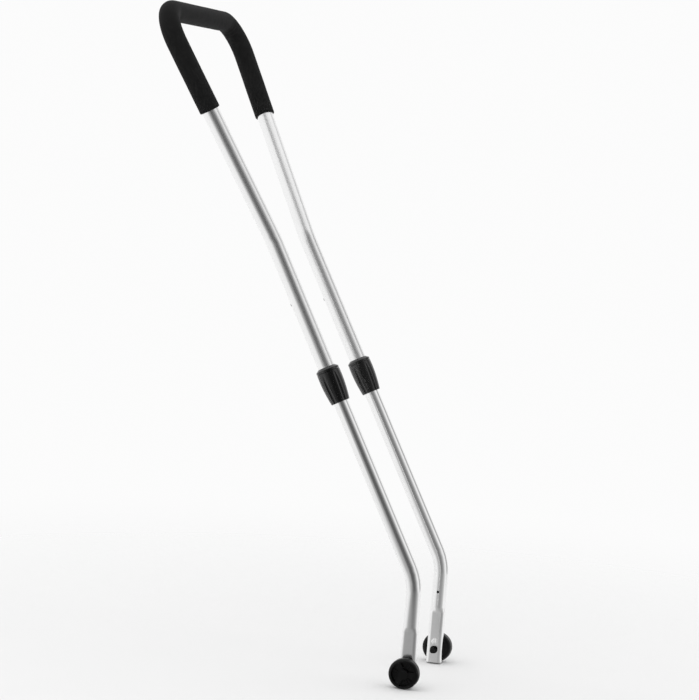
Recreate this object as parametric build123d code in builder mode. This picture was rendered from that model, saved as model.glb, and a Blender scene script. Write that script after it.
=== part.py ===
from build123d import *
import os
from math import cos, radians, sin, tan

# Telescopic U-shaped push handle with two twist-lock collars and two bolt-on feet.
#
# Frame: millimetres, +Z up along the feet, X across the handle, and the grip leans
# towards -Y, where the person pushes from. The origin lies midway between the two
# mounting studs. "Right" is +X and "left" is -X.

# ---- driving dimensions: overall layout ------------------------------------------
LEG_SPACING = 180.0          # between the centrelines of the two legs
FOOT_BELOW_STUD = 20.0       # stud axis down to the open end of the foot
BEND_HEIGHT = 135.0          # stud axis up to the corner of the foot bend
LEAN_ANGLE = 28.0            # the telescoping legs lean this far from the vertical
FOOT_BEND_RADIUS = 75.0      # centreline radius of the foot bend
LOWER_TUBE_REACH = 358.0     # foot bend corner to the top end of the lower tube
UPPER_STRAIGHT = 259.0       # lower edge of the collar to the corner where the U widens
SPLAY_ANGLE = 13.0           # each side of the U widens by this angle
SPLAY_RADIUS = 75.0          # centreline radius of the widening bends
UPPER_RUN = 372.0            # widening corner to the corner of the crossbar
GRIP_CORNER_RADIUS = 45.0    # centreline radius of the crossbar corners

# ---- driving dimensions: tubes and grip ------------------------------------------
UPPER_TUBE_DIAMETER = 25.0
UPPER_TUBE_WALL = 1.2
LOWER_TUBE_DIAMETER = 22.0
LOWER_TUBE_WALL = 1.2
FOAM_WALL = 3.0
FOAM_LEG_LENGTH = 163.0      # crossbar corner down to the end of the foam

# ---- driving dimensions: pressed foot --------------------------------------------
FOOT_WIDTH = 23.5            # along Y
FOOT_THICKNESS = 14.0        # along X
FOOT_CORNER_RADIUS = 6.0
FOOT_FLAT_LENGTH = 77.0      # open end up to the shoulder of the pressing
SHOULDER_LENGTH = 9.0        # where the pressed section swells back to the tube
DRAIN_HEIGHT = 90.0          # small hole in the inner wall, above the stud axis
DRAIN_DIAMETER = 4.0

# ---- driving dimensions: twist-lock collar ---------------------------------------
TUBE_IN_COLLAR = 77.0        # lower edge of the collar up to the end of the lower tube
COLLAR_LENGTH = 52.0
COLLAR_BOTTOM_DIAMETER = 28.4
COLLAR_WAIST_DIAMETER = 34.4 # halfway up the clamp nut
COLLAR_TOP_DIAMETER = 34.8
COLLAR_FLANGE = 3.6          # height of the fixed ring above the clamp nut
FLANGE_DOME = 3.0            # how far the fixed ring rises towards the tube
NUT_LIP = 7.0                # plain lip of the nut below the clamp ring
CLAMP_RING_LENGTH = 12.0
CLAMP_RING_WALL = 1.0
CAM_HEIGHT = 0.2             # crest of each cam on the clamp ring
CAM_COUNT = 3
CAM_ARC = 34.0               # angle that one cam crest covers
CAM_CLEAR_ARC = 4.0          # the pockets in the nut are this much wider at each end
RING_SLOT = 1.6              # slot that lets the clamp ring close
KEY_WIDTH = 3.0              # tabs of the body that stop the ring from turning
KEY_LENGTH = 4.0
BODY_NECK_WALL = 1.2
BODY_SEAT = 4.0              # ledge of the body under the end of the upper tube
SNAP_HEIGHT = 0.5            # bead inside the nut, held by a groove in the body
SNAP_LENGTH = 2.0
SNAP_BELOW_TOP = 5.0
GRIP_FLUTES = 6
FLUTE_RADIUS = 4.5
FLUTE_DEPTH = 1.2            # at the lower edge of the nut
FLUTE_START = -16.0          # angle from +X to the first flute while the nut is open
FLUTE_RUN_OUT = 44.0         # the flutes fade out at this height

# ---- driving dimensions: studs, knobs and small parts ----------------------------
STUD_DIAMETER = 8.0
STUD_REACH = 12.0            # stud beyond the inner face of the foot
STUD_CHAMFER = 1.0
FOOT_BUSH_DIAMETER = 12.0
BUSH_POCKET_DIAMETER = 10.2
BUSH_POCKET_DEPTH = 8.5
CLIP_DIAMETER = 9.6
CLIP_THICKNESS = 1.0
CLIP_GAP = 2.4
CLIP_GROOVE_DIAMETER = 6.8
CLIP_INSET = 1.0             # clip below the inner face of the foot
PIN_ABOVE_STUD = 13.0
PIN_DIAMETER = 9.0           # in the foot
PIN_NOSE_DIAMETER = 8.0      # the end that enters the vehicle
PIN_REACH = 6.0              # locating pin beyond the inner face of the foot
PIN_NOSE_ROUND = 2.0
KNOB_DIAMETER = 45.0
KNOB_THICKNESS = 18.0
KNOB_RIM_ROUND = 5.0
KNOB_DISH_DIAMETER = 35.0
KNOB_DISH_DEPTH = 5.0
KNOB_HUB_DIAMETER = 15.0
KNOB_ARMS = 3
KNOB_ARM_WIDTH = 8.0
KNOB_ARM_DROP = 1.2          # arms below the front of the rim
KNOB_RIBS = 5                # thin ribs on the floor of each pocket
KNOB_RIB_WIDTH = 0.9
KNOB_RIB_HEIGHT = 1.4
KNOB_CAP_DIAMETER = 10.0
KNOB_CAP_THICKNESS = 1.6
STUD_IN_KNOB = 12.0
WASHER_DIAMETER = 17.0
WASHER_THICKNESS = 1.6
GUIDE_BUSH_LENGTH = 8.0
GUIDE_PLUG_LENGTH = 12.0
RIVET_FROM_SPLAY = 100.0     # widening corner down to the stop rivet
RIVET_HEAD_DIAMETER = 5.0
RIVET_HEAD = 0.9
RIVET_SHANK_DIAMETER = 3.2
RIVET_STOP = 1.6             # how far the rivet stands into the bore
EDGE = 0.5                   # small broken edges

# ---- clearances ------------------------------------------------------------------
LOOSE = 0.3                  # radial gap between pieces that move past each other
SLIDE_FIT = 0.1              # radial gap of the guide bush in the upper tube
STUD_FIT = 0.1               # radial gap of the stud in its bush
SEAT_GAP = 0.3               # gap between flat faces that turn on each other
CLIP_FIT = 0.05              # gap of the clip in its groove
CUT = 1.0                    # how far a cut runs past the material

# ---- derived sizes ---------------------------------------------------------------
# Places along a telescoping axis, measured up from the corner of the foot bend.
COLLAR_START = LOWER_TUBE_REACH - TUBE_IN_COLLAR
SPLAY_START = COLLAR_START + UPPER_STRAIGHT

upper_radius = UPPER_TUBE_DIAMETER / 2
upper_bore = upper_radius - UPPER_TUBE_WALL
lower_radius = LOWER_TUBE_DIAMETER / 2
lower_bore = lower_radius - LOWER_TUBE_WALL
foam_radius = upper_radius + FOAM_WALL
foot_half = FOOT_THICKNESS / 2
foot_shoulder = FOOT_FLAT_LENGTH - FOOT_BELOW_STUD
knob_back = 2 * SEAT_GAP + WASHER_THICKNESS

# Heights inside a collar, measured up its axis from the lower edge.
ring_bottom = NUT_LIP + SEAT_GAP
ring_top = ring_bottom + CLAMP_RING_LENGTH
body_bottom = ring_top + SEAT_GAP
tube_seat = body_bottom + BODY_SEAT
nut_top = COLLAR_LENGTH - COLLAR_FLANGE - SEAT_GAP
ring_bore = lower_radius + LOOSE
ring_radius = ring_bore + CLAMP_RING_WALL
cam_radius = ring_radius + CAM_HEIGHT
nut_land = cam_radius + CAM_HEIGHT
nut_pocket = nut_land + CAM_HEIGHT
neck_radius = upper_radius + BODY_NECK_WALL
nut_bore = neck_radius + LOOSE
ledge_bore = lower_radius + SLIDE_FIT
collar_bottom_radius = COLLAR_BOTTOM_DIAMETER / 2
collar_waist_radius = COLLAR_WAIST_DIAMETER / 2
collar_top_radius = COLLAR_TOP_DIAMETER / 2

# Leaning plane that holds the U: its x runs across and its y up the telescoping axis.
lean_plane = Plane(
    origin=(0, 0, BEND_HEIGHT),
    x_dir=(1, 0, 0),
    z_dir=(0, -cos(radians(LEAN_ANGLE)), -sin(radians(LEAN_ANGLE))),
)
leg_axis = Vector(0, -sin(radians(LEAN_ANGLE)), cos(radians(LEAN_ANGLE)))
rear_normal = Vector(0, -cos(radians(LEAN_ANGLE)), -sin(radians(LEAN_ANGLE)))
grip_height = SPLAY_START + UPPER_RUN * cos(radians(SPLAY_ANGLE))
grip_half_width = LEG_SPACING / 2 + UPPER_RUN * sin(radians(SPLAY_ANGLE))

SIDES = {"left": -1, "right": 1}


def leg_point(side, reach):
    """Point on a telescoping axis, at a distance above the corner of the foot bend."""
    return Vector(side * LEG_SPACING / 2, 0, BEND_HEIGHT) + leg_axis * reach


def collar_plane(side):
    """Plane across a leg at the lower edge of its collar; z runs up the leg."""
    return Plane(origin=leg_point(side, COLLAR_START), x_dir=(1, 0, 0), z_dir=leg_axis)


def foot_plane(side, height=0.0, outward=0.0):
    """Plane on the outer face of a foot; z points outward, away from the other foot."""
    outer_face = side * (LEG_SPACING / 2 + foot_half + outward)
    return Plane(origin=(outer_face, 0, height), x_dir=(0, side, 0), z_dir=(side, 0, 0))


def export(piece, name):
    piece.part.label = name
    export_step(piece.part, f"parts/{name}.step")


# ---- handle ----------------------------------------------------------------------
def make_handle_tube():
    """Aluminium tube bent into the U, with a rivet hole in the rear of each leg."""
    half = LEG_SPACING / 2
    tube_end = COLLAR_START + tube_seat
    with BuildPart() as handle_tube:
        with BuildLine(lean_plane) as path:
            FilletPolyline(
                (half, tube_end),
                (half, SPLAY_START),
                (grip_half_width, grip_height),
                (-grip_half_width, grip_height),
                (-half, SPLAY_START),
                (-half, tube_end),
                radius=(SPLAY_RADIUS, GRIP_CORNER_RADIUS, GRIP_CORNER_RADIUS, SPLAY_RADIUS),
            )
        with BuildSketch(Plane(origin=path.line @ 0, z_dir=path.line % 0)):
            Circle(upper_radius)
            Circle(upper_bore, mode=Mode.SUBTRACT)
        sweep(path=path.line)
        for side in SIDES.values():
            with BuildSketch(rivet_plane(side)):
                Circle(RIVET_SHANK_DIAMETER / 2)
            extrude(amount=-UPPER_TUBE_WALL - CUT, mode=Mode.SUBTRACT)
    return handle_tube


def make_foam_grip():
    """Foam sleeve over the crossbar, both corners and the top of each leg."""
    run = FOAM_LEG_LENGTH
    foam_end = (
        grip_half_width - run * sin(radians(SPLAY_ANGLE)),
        grip_height - run * cos(radians(SPLAY_ANGLE)),
    )
    with BuildPart() as foam_grip:
        with BuildLine(lean_plane) as path:
            FilletPolyline(
                foam_end,
                (grip_half_width, grip_height),
                (-grip_half_width, grip_height),
                (-foam_end[0], foam_end[1]),
                radius=GRIP_CORNER_RADIUS,
            )
        with BuildSketch(Plane(origin=path.line @ 0, z_dir=path.line % 0)):
            Circle(foam_radius)
            Circle(upper_radius, mode=Mode.SUBTRACT)
        sweep(path=path.line)
    return foam_grip


def rivet_plane(side):
    """Plane on the rear of an upper leg at the stop rivet; z points out of the tube."""
    axis_point = leg_point(side, SPLAY_START - RIVET_FROM_SPLAY)
    return Plane(
        origin=axis_point + rear_normal * upper_radius, x_dir=(1, 0, 0), z_dir=rear_normal
    )


def make_stop_rivet(side):
    """Rivet whose tail stands into the bore and stops the lower tube."""
    plane = rivet_plane(side)
    with BuildPart() as stop_rivet:
        with BuildSketch(plane):
            Circle(RIVET_SHANK_DIAMETER / 2)
        extrude(amount=-UPPER_TUBE_WALL - RIVET_STOP)
        with BuildSketch(plane):
            Circle(RIVET_HEAD_DIAMETER / 2)
        extrude(amount=RIVET_HEAD)
        outer_edge = stop_rivet.edges().filter_by(GeomType.CIRCLE).sort_by(SortBy.RADIUS)[-2:]
        fillet(outer_edge.sort_by(Axis(plane.origin, plane.z_dir))[-1], EDGE)
    return stop_rivet


# ---- legs ------------------------------------------------------------------------
def make_lower_tube(side):
    """Lower tube: leaning leg, foot bend, and a foot pressed flat to take the stud."""
    leg_plane = Plane(origin=(side * LEG_SPACING / 2, 0, 0), x_dir=(0, 1, 0), z_dir=(1, 0, 0))
    top = (
        -LOWER_TUBE_REACH * sin(radians(LEAN_ANGLE)),
        BEND_HEIGHT + LOWER_TUBE_REACH * cos(radians(LEAN_ANGLE)),
    )
    round_start = foot_shoulder + SHOULDER_LENGTH
    foot_section = Plane(origin=(side * LEG_SPACING / 2, 0, 0), x_dir=(1, 0, 0), z_dir=(0, 0, 1))
    with BuildPart() as lower_tube:
        for inset, mode in ((0, Mode.ADD), (LOWER_TUBE_WALL, Mode.SUBTRACT)):
            with BuildLine(leg_plane) as path:
                FilletPolyline((0, round_start), (0, BEND_HEIGHT), top, radius=FOOT_BEND_RADIUS)
            with BuildSketch(foot_section.offset(round_start)):
                Circle(lower_radius - inset)
            sweep(path=path.line, mode=mode)
            with BuildSketch(foot_section.offset(foot_shoulder)):
                pressed_outline(inset)
            with BuildSketch(foot_section.offset(round_start)):
                Circle(lower_radius - inset)
            loft(mode=mode)
            with BuildSketch(foot_section.offset(-FOOT_BELOW_STUD)):
                pressed_outline(inset)
            extrude(amount=FOOT_FLAT_LENGTH, mode=mode)
        for height, diameter in ((0, FOOT_BUSH_DIAMETER), (PIN_ABOVE_STUD, PIN_DIAMETER)):
            with BuildSketch(foot_plane(side, height)):
                Circle(diameter / 2)
            extrude(amount=-FOOT_THICKNESS, mode=Mode.SUBTRACT)
        with BuildSketch(foot_plane(side, DRAIN_HEIGHT, -foot_half)):
            Circle(DRAIN_DIAMETER / 2)
        extrude(amount=-lower_radius - CUT, mode=Mode.SUBTRACT)
    return lower_tube


def pressed_outline(inset):
    """Rounded outline of the pressed foot, moved inward by the given amount."""
    RectangleRounded(
        FOOT_THICKNESS - 2 * inset, FOOT_WIDTH - 2 * inset, FOOT_CORNER_RADIUS - inset
    )


def make_guide_bush(side):
    """Plastic plug in the top of the lower tube that guides it inside the upper tube."""
    plane = Plane(origin=leg_point(side, LOWER_TUBE_REACH), x_dir=(1, 0, 0), z_dir=leg_axis)
    with BuildPart() as guide_bush:
        with BuildSketch(plane):
            Circle(upper_bore - SLIDE_FIT)
        extrude(amount=GUIDE_BUSH_LENGTH)
        chamfer(guide_bush.edges().filter_by(GeomType.CIRCLE), EDGE)
        with BuildSketch(plane):
            Circle(lower_bore)
        extrude(amount=-GUIDE_PLUG_LENGTH)
    return guide_bush


# ---- twist-lock collar -----------------------------------------------------------
def section_plane(plane):
    """Half-section plane of a turned piece: x runs outward and y up the axis."""
    return Plane(origin=plane.origin, x_dir=plane.x_dir, z_dir=-plane.y_dir)


def make_collar_body(side):
    """Body fixed on the end of the upper tube: ledge, neck, keys and domed top ring."""
    plane = collar_plane(side)
    flange_bottom = COLLAR_LENGTH - COLLAR_FLANGE
    dome_top = COLLAR_LENGTH + FLANGE_DOME
    groove_top = nut_top - SNAP_BELOW_TOP + SEAT_GAP
    groove_bottom = groove_top - SNAP_LENGTH - 2 * SEAT_GAP
    groove_radius = neck_radius - SNAP_HEIGHT
    with BuildPart() as collar_body:
        with BuildSketch(section_plane(plane)):
            with BuildLine():
                Polyline(
                    (upper_radius, dome_top),
                    (upper_radius, tube_seat),
                    (ledge_bore, tube_seat),
                    (ledge_bore, body_bottom),
                    (neck_radius, body_bottom),
                    (neck_radius, groove_bottom),
                    (groove_radius, groove_bottom),
                    (groove_radius, groove_top),
                    (neck_radius, groove_top),
                    (neck_radius, flange_bottom),
                    (collar_top_radius, flange_bottom),
                    (collar_top_radius, COLLAR_LENGTH - EDGE),
                    (collar_top_radius - EDGE, COLLAR_LENGTH),
                    (upper_radius + EDGE, dome_top),
                    close=True,
                )
            make_face()
        revolve(axis=Axis(plane.origin, plane.z_dir))
        # Keys that hang into the notches of the clamp ring.
        with BuildSketch(plane.offset(body_bottom)):
            Circle(ring_radius)
            Circle(ring_bore, mode=Mode.SUBTRACT)
            Rectangle(KEY_WIDTH, 4 * ring_radius, mode=Mode.INTERSECT)
        extrude(amount=-KEY_LENGTH)
    return collar_body


def cam_sectors(inner, outer, arc):
    """Ring sectors between two radii, one for each cam."""
    with BuildSketch(mode=Mode.PRIVATE) as sectors:
        for index in range(CAM_COUNT):
            middle = 360 / CAM_COUNT * (index + 0.5)
            with BuildLine():
                start = PolarLine((0, 0), outer, middle - arc / 2)
                CenterArc((0, 0), outer, middle - arc / 2, arc)
                end = PolarLine((0, 0), outer, middle + arc / 2)
            make_face()
        Circle(inner, mode=Mode.SUBTRACT)
    return sectors.sketch


def make_clamp_ring(side):
    """Split ring that grips the lower tube, with cam crests on its outside."""
    plane = collar_plane(side)
    cams = cam_sectors(ring_bore, cam_radius, CAM_ARC)
    with BuildPart() as clamp_ring:
        with BuildSketch(plane.offset(ring_bottom)):
            Circle(ring_radius)
            add(cams)
            Circle(ring_bore, mode=Mode.SUBTRACT)
            with Locations((ring_radius, 0)):
                Rectangle(2 * ring_radius, RING_SLOT, mode=Mode.SUBTRACT)
        extrude(amount=CLAMP_RING_LENGTH)
        with BuildSketch(plane.offset(ring_top)):
            Rectangle(KEY_WIDTH + 2 * SEAT_GAP, 4 * ring_radius)
        extrude(amount=-KEY_LENGTH, mode=Mode.SUBTRACT)
    return clamp_ring


def finger_flutes(plane):
    """Rods that cut the flutes: deepest at the lower edge, fading out below the top."""
    with BuildPart() as rods:
        for index in range(GRIP_FLUTES):
            turn = FLUTE_START + 360 / GRIP_FLUTES * index
            across = plane.x_dir.rotate(Axis((0, 0, 0), plane.z_dir), turn)
            low = plane.origin + across * (collar_bottom_radius - FLUTE_DEPTH + FLUTE_RADIUS)
            high = plane.origin + across * (collar_top_radius + FLUTE_RADIUS)
            run = (high + plane.z_dir * FLUTE_RUN_OUT - low).normalized()
            with BuildSketch(Plane(origin=low - run * CUT, z_dir=run)):
                Circle(FLUTE_RADIUS)
            extrude(amount=FLUTE_RUN_OUT + 2 * CUT)
    return rods.part


def make_clamp_nut(side):
    """Barrel-shaped, fluted sleeve that the hand turns to close the clamp ring."""
    plane = collar_plane(side)
    bead_top = nut_top - SNAP_BELOW_TOP
    bead_bottom = bead_top - SNAP_LENGTH
    bead_radius = nut_bore - SNAP_HEIGHT
    pockets = cam_sectors(ring_bore, nut_pocket, CAM_ARC + 2 * CAM_CLEAR_ARC)
    flutes = finger_flutes(plane)
    with BuildPart() as clamp_nut:
        with BuildSketch(section_plane(plane)):
            with BuildLine():
                Polyline(
                    (collar_top_radius, nut_top - EDGE),
                    (collar_top_radius - EDGE, nut_top),
                    (nut_bore, nut_top),
                    (nut_bore, bead_top),
                    (bead_radius, bead_top - SNAP_HEIGHT),
                    (bead_radius, bead_bottom + SNAP_HEIGHT),
                    (nut_bore, bead_bottom),
                    (nut_bore, ring_top),
                    (nut_land, ring_top),
                    (nut_land, NUT_LIP),
                    (ring_bore, NUT_LIP),
                    (ring_bore, 0),
                    (collar_bottom_radius - EDGE, 0),
                    (collar_bottom_radius, EDGE),
                )
                ThreePointArc(
                    (collar_bottom_radius, EDGE),
                    (collar_waist_radius, nut_top / 2),
                    (collar_top_radius, nut_top - EDGE),
                )
            make_face()
        revolve(axis=Axis(plane.origin, plane.z_dir))
        # Pockets that hold the cam crests while the nut is open.
        with BuildSketch(plane.offset(NUT_LIP)):
            add(pockets)
        extrude(amount=ring_top - NUT_LIP, mode=Mode.SUBTRACT)
        add(flutes, mode=Mode.SUBTRACT)
    return clamp_nut


# ---- studs, knobs and locating pins ----------------------------------------------
def make_foot_bush(side):
    """Plastic bush through the foot, with a pocket for the clip on the inner side."""
    with BuildPart() as foot_bush:
        with BuildSketch(foot_plane(side)):
            Circle(FOOT_BUSH_DIAMETER / 2)
            Circle(STUD_DIAMETER / 2 + STUD_FIT, mode=Mode.SUBTRACT)
        extrude(amount=-FOOT_THICKNESS)
        with BuildSketch(foot_plane(side, 0, -FOOT_THICKNESS)):
            Circle(BUSH_POCKET_DIAMETER / 2)
        extrude(amount=BUSH_POCKET_DEPTH, mode=Mode.SUBTRACT)
    return foot_bush


def make_locating_pin(side):
    """Pin through the foot that stands inward beside the stud and stops it turning."""
    with BuildPart() as locating_pin:
        with BuildSketch(foot_plane(side, PIN_ABOVE_STUD)):
            Circle(PIN_DIAMETER / 2)
        extrude(amount=-FOOT_THICKNESS)
        with BuildSketch(foot_plane(side, PIN_ABOVE_STUD, -FOOT_THICKNESS)):
            Circle(PIN_NOSE_DIAMETER / 2)
        extrude(amount=-PIN_REACH)
        inner_end = locating_pin.faces().sort_by(Axis.X)[0 if side > 0 else -1]
        fillet(inner_end.edges(), PIN_NOSE_ROUND)
    return locating_pin


def make_knob_washer(side):
    """Flat washer between the foot and the knob."""
    with BuildPart() as knob_washer:
        with BuildSketch(foot_plane(side, 0, SEAT_GAP)):
            Circle(WASHER_DIAMETER / 2)
            Circle(STUD_DIAMETER / 2 + STUD_FIT, mode=Mode.SUBTRACT)
        extrude(amount=WASHER_THICKNESS)
    return knob_washer


def make_knob_stud(side):
    """Steel stud moulded into the knob, with a groove for the clip."""
    clip_start = -FOOT_THICKNESS + CLIP_INSET - CLIP_FIT
    with BuildPart() as knob_stud:
        with BuildSketch(foot_plane(side, 0, knob_back)):
            Circle(STUD_DIAMETER / 2)
        extrude(amount=STUD_IN_KNOB)
        extrude(
            knob_stud.faces().sort_by(Axis.X)[0 if side > 0 else -1],
            amount=knob_back + FOOT_THICKNESS + STUD_REACH,
        )
        inner_end = knob_stud.faces().sort_by(Axis.X)[0 if side > 0 else -1]
        chamfer(inner_end.edges(), STUD_CHAMFER)
        with BuildSketch(foot_plane(side, 0, clip_start)):
            Circle(STUD_DIAMETER / 2)
            Circle(CLIP_GROOVE_DIAMETER / 2, mode=Mode.SUBTRACT)
        extrude(amount=CLIP_THICKNESS + 2 * CLIP_FIT, mode=Mode.SUBTRACT)
    return knob_stud


def make_stud_clip(side):
    """Open clip in the groove of the stud that keeps stud and knob in the foot."""
    with BuildPart() as stud_clip:
        with BuildSketch(foot_plane(side, 0, -FOOT_THICKNESS + CLIP_INSET)):
            Circle(CLIP_DIAMETER / 2)
            Circle(CLIP_GROOVE_DIAMETER / 2 + CLIP_FIT, mode=Mode.SUBTRACT)
            with Locations((CLIP_DIAMETER / 2, 0)):
                Rectangle(CLIP_DIAMETER, CLIP_GAP, mode=Mode.SUBTRACT)
        extrude(amount=CLIP_THICKNESS)
    return stud_clip


def make_knob(side):
    """Round hand knob: rounded rim, dished face, hub, three arms and fine ribs."""
    back = foot_plane(side, 0, knob_back)
    dish_floor = back.offset(KNOB_THICKNESS - KNOB_DISH_DEPTH)
    spoke_length = (KNOB_DISH_DIAMETER - KNOB_HUB_DIAMETER) / 2 + 2 * EDGE
    spoke_middle = (KNOB_DISH_DIAMETER + KNOB_HUB_DIAMETER) / 4
    with BuildPart() as knob:
        with BuildSketch(back):
            Circle(KNOB_DIAMETER / 2)
        extrude(amount=KNOB_THICKNESS)
        fillet(knob.edges(), KNOB_RIM_ROUND)
        with BuildSketch(dish_floor):
            Circle(KNOB_DISH_DIAMETER / 2)
            Circle(KNOB_HUB_DIAMETER / 2, mode=Mode.SUBTRACT)
        extrude(amount=KNOB_DISH_DEPTH, mode=Mode.SUBTRACT)
        with BuildSketch(dish_floor):
            with PolarLocations(spoke_middle, KNOB_ARMS):
                Rectangle(spoke_length, KNOB_ARM_WIDTH)
        extrude(amount=KNOB_DISH_DEPTH - KNOB_ARM_DROP)
        with BuildSketch(dish_floor):
            with PolarLocations(spoke_middle, KNOB_ARMS * (KNOB_RIBS + 1)):
                Rectangle(spoke_length, KNOB_RIB_WIDTH)
        extrude(amount=KNOB_RIB_HEIGHT)
        with BuildSketch(back):
            Circle(STUD_DIAMETER / 2)
        extrude(amount=STUD_IN_KNOB, mode=Mode.SUBTRACT)
        with BuildSketch(back.offset(KNOB_THICKNESS - KNOB_CAP_THICKNESS)):
            Circle(KNOB_CAP_DIAMETER / 2)
        extrude(amount=KNOB_CAP_THICKNESS, mode=Mode.SUBTRACT)
    return knob


def make_knob_cap(side):
    """Small plug that closes the middle of the knob."""
    back = foot_plane(side, 0, knob_back)
    with BuildPart() as knob_cap:
        with BuildSketch(back.offset(KNOB_THICKNESS - KNOB_CAP_THICKNESS)):
            Circle(KNOB_CAP_DIAMETER / 2)
        extrude(amount=KNOB_CAP_THICKNESS)
    return knob_cap


# ---- build every piece -----------------------------------------------------------
os.makedirs("parts", exist_ok=True)
export(make_handle_tube(), "handle_tube")
export(make_foam_grip(), "foam_grip")

side_pieces = {
    "lower_tube": make_lower_tube,
    "guide_bush": make_guide_bush,
    "stop_rivet": make_stop_rivet,
    "collar_body": make_collar_body,
    "clamp_ring": make_clamp_ring,
    "clamp_nut": make_clamp_nut,
    "foot_bush": make_foot_bush,
    "locating_pin": make_locating_pin,
    "knob_washer": make_knob_washer,
    "knob_stud": make_knob_stud,
    "stud_clip": make_stud_clip,
    "knob": make_knob,
    "knob_cap": make_knob_cap,
}
for side_name, side in SIDES.items():
    for piece_name, make_piece in side_pieces.items():
        export(make_piece(side), f"{side_name}_{piece_name}")
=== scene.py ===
# %% [markdown]
# # Telescopic push handle
#
# A U-shaped handle of aluminium tube with a foam grip. Its two legs slide on two
# lower tubes, a twist-lock collar holds each leg at the length that was set, and a
# round hand knob bolts each pressed foot to the vehicle. The CAD model is the frame:
# every rigid piece comes from it, and this lesson adds the finishes, the soft grip,
# the screw threads, and a small white studio.
#
# The first cell loads that frame and keeps its box, because the dressed model must
# end up inside the same box.

# %% Load the frame
import bmesh
import bpy
from math import cos, exp, pi, radians, sin, sqrt
from mathutils import Matrix, Vector, noise


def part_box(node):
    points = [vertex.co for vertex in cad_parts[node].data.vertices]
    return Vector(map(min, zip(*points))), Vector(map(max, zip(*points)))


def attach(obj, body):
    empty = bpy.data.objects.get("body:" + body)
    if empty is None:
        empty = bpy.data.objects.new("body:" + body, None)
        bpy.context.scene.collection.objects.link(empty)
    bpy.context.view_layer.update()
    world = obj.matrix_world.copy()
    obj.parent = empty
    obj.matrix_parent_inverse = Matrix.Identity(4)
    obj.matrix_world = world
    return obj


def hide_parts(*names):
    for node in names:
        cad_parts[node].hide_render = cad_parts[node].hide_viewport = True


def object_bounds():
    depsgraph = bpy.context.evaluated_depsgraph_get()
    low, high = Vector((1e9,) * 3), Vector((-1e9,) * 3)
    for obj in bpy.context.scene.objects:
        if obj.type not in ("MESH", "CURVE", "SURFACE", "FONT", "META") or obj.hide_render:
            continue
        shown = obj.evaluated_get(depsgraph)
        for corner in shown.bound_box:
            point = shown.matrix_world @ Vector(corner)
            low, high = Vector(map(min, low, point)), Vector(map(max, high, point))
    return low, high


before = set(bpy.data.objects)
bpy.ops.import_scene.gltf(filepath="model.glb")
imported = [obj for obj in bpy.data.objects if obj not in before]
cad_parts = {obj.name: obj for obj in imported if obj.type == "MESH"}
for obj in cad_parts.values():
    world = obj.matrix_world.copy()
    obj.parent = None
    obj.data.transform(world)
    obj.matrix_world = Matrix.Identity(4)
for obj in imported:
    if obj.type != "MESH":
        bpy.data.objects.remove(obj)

cad_low, cad_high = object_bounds()
MM = 0.001
SAME_POINT = 0.002 * MM  # vertices nearer than this are merged
print("CAD box in mm:", [round(side / MM, 1) for side in cad_high - cad_low])

# %% [markdown]
# ## The directions of the handle
#
# The legs lean back from the vertical, and the top of the U widens. Both the grip and
# the lines drawn in the metal follow those directions, so they are worked out once.
# A vertical axis that is turned about X by the lean angle gives the leg's own axis,
# and `lean_turn` carries points from an upright drawing of the U to where it really
# stands. The alternative is to measure each place again, and such numbers drift apart.

# %% Directions of the legs
LEAN_ANGLE = radians(28)
SPLAY_ANGLE = radians(13)
FOOT_BEND_HEIGHT = 135 * MM
SPLAY_REACH = 540 * MM

lean_turn = Matrix.Rotation(LEAN_ANGLE, 3, "X")
leg_axis = lean_turn @ Vector((0, 0, 1))
splay_axis = lean_turn @ Vector((sin(SPLAY_ANGLE), 0, cos(SPLAY_ANGLE)))
splay_height = FOOT_BEND_HEIGHT + SPLAY_REACH * leg_axis.z
print("leg axis", tuple(round(part, 3) for part in leg_axis))
print("the U widens above", round(splay_height / MM), "mm")

# %% [markdown]
# ## The camera
#
# A long lens from a few metres away keeps the two legs nearly parallel, as a product
# picture does. The camera circles the middle of the object by azimuth and elevation,
# looks at it, and then rolls a little, which makes the handle lean in the frame. An
# empty to track would also aim it, but a quaternion needs no extra object. `towards`
# serves the lamps and the reflected wall as well.

# %% Camera
CAMERA_AZIMUTH = radians(104.6)
CAMERA_ELEVATION = radians(5.0)
CAMERA_DISTANCE = 3.68
CAMERA_ROLL = radians(4.5)
CAMERA_LENS = 126.1
CAMERA_AIM = Vector((-0.0107, 0.0573, -0.0112))  # from the middle of the CAD box


def towards(azimuth, elevation=0.0):
    """Direction by two angles in radians; azimuth 0 is the side of the person."""
    flat = cos(elevation)
    return Vector((sin(azimuth) * flat, -cos(azimuth) * flat, sin(elevation)))


aim = (cad_low + cad_high) / 2 + CAMERA_AIM
backward = towards(CAMERA_AZIMUTH, CAMERA_ELEVATION)
camera_data = bpy.data.cameras.new("studio_camera")
camera_data.lens = CAMERA_LENS
camera = bpy.data.objects.new("studio_camera", camera_data)
camera.location = aim + backward * CAMERA_DISTANCE
turn_to_aim = (-backward).to_track_quat("-Z", "Y").to_matrix()
camera.rotation_euler = (turn_to_aim @ Matrix.Rotation(CAMERA_ROLL, 3, "Z")).to_euler()
bpy.context.collection.objects.link(camera)
bpy.context.scene.camera = camera
bpy.context.scene.view_settings.view_transform = "Standard"
print("camera at", tuple(round(part, 2) for part in camera.location))

# %% [markdown]
# ## Small helpers for node materials
#
# Each finish below is a node tree. `start_finish` makes a material with its Principled
# shader and an Object coordinate, and `add_node` adds a node, sets its inputs and joins
# it to the nodes before it. The small functions after them name what nearly every
# finish does: sum, mix, add noise, raise a relief. All pieces sit at the origin, so the
# patterns share one real scale, and a noise is given by the size of its patches.

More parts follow.
